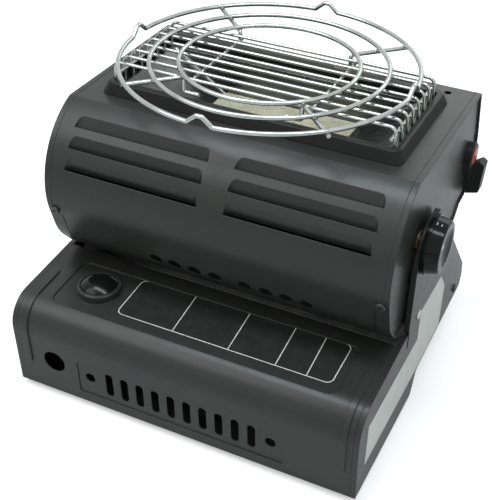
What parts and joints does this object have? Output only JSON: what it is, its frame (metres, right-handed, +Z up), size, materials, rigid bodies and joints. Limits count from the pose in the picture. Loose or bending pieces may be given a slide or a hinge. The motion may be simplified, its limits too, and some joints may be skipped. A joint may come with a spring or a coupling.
{
  "type": "portable gas heater",
  "caption": "Tabletop gas heater and stove: a tilting drum with a wire-guarded ceramic burner and a lift-off pot ring, on a sheet-steel base that holds the gas cartridge.",
  "frame": {"origin": "bottom centre of the whole part, on the surface it stands on", "axes": "+X to the right seen from the front, along the tilt axis; +Y to the back; +Z up"},
  "size_m": [0.3034, 0.2702, 0.2559],
  "materials": {
    "black_enamel": "semi-gloss powder coat",
    "black_inner": "matt",
    "galvanised": "dull sheet",
    "chrome_wire": "bright",
    "zinc_steel": "zinc plated",
    "brass": "machined",
    "die_cast": "cast",
    "copper": "drawn tube",
    "ceramic": "porous",
    "white_ceramic": "glazed",
    "black_plastic": "glossy",
    "matte_plastic": "fine grain",
    "red_plastic": "glossy",
    "rubber": "matt"
  },
  "bodies": {
    "base": {"base_shell": "black_enamel", "bulkhead": "black_inner", "cartridge_cradle": "black_inner", "door_hinge_pin": "zinc_steel", "floor_pan": "black_inner", "foot_front_left": "rubber", "foot_front_right": "rubber", "foot_rear_left": "rubber", "foot_rear_right": "rubber", "gas_jet": "brass", "gas_pipe": "copper", "heat_shield": "galvanised", "left_pivot_pin": "zinc_steel", "rail_screw_left": "zinc_steel", "rail_screw_right": "zinc_steel", "rear_rail": "black_inner", "regulator": "die_cast", "regulator_bracket": "black_inner", "side_plate_left": "black_enamel", "side_plate_right": "black_enamel", "side_screw_left": "zinc_steel", "side_screw_right": "zinc_steel", "valve_body": "brass", "valve_nut": "brass"},
    "drum": {"drum_shell": "black_enamel", "drum_back": "black_enamel", "drum_end_left": "black_enamel", "drum_end_right": "black_enamel", "bush_left": "brass", "bush_right": "brass", "drum_screw_left": "zinc_steel", "drum_screw_right": "zinc_steel", "burner_frame": "black_enamel", "reflector": "galvanised", "burner_box": "galvanised", "ceramic_plate": "ceramic", "mixer_tube": "galvanised", "electrode": "zinc_steel", "electrode_sleeve": "white_ceramic", "guard_grille": "chrome_wire", "igniter_housing": "matte_plastic", "piezo_unit": "matte_plastic"},
    "pot_ring": {"pot_ring": "chrome_wire"},
    "knob": {"knob": "black_plastic", "valve_spindle": "zinc_steel"},
    "igniter_button": {"igniter_button": "red_plastic"},
    "lock": {"lock_button": "black_plastic", "latch_bar": "black_inner", "lock_spring": "zinc_steel"},
    "door": {"cartridge_door": "black_enamel"}
  },
  "joints": [
    {"name": "drum_tilt", "type": "hinge", "parent": "base", "child": "drum", "pos_m": [-0.0041, -0.01904, 0.1582], "axis": [1, 0, 0], "range_deg": [0, 90]},
    {"name": "pot_ring_lift", "type": "slide", "parent": "drum", "child": "pot_ring", "axis": [0, 0, 1], "range_m": [0, 0.04]},
    {"name": "knob_turn", "type": "hinge", "parent": "base", "child": "knob", "pos_m": [0.1384, -0.01904, 0.1582], "axis": [1, 0, 0], "range_deg": [0, 270]},
    {"name": "igniter_press", "type": "slide", "parent": "drum", "child": "igniter_button", "axis": [-1, 0, 0], "range_m": [0, 0.004], "stiffness_N_per_m": 1500, "springref_m": -0.001},
    {"name": "lock_press", "type": "slide", "parent": "base", "child": "lock", "axis": [0, 0, -1], "range_m": [0, 0.0028], "stiffness_N_per_m": 800, "springref_m": -0.002, "deforming": ["lock_spring"]},
    {"name": "door_open", "type": "hinge", "parent": "base", "child": "door", "pos_m": [-0.1492, -0.08984, 0.0091], "axis": [0, -1, 0], "range_deg": [0, 85]}
  ]
}
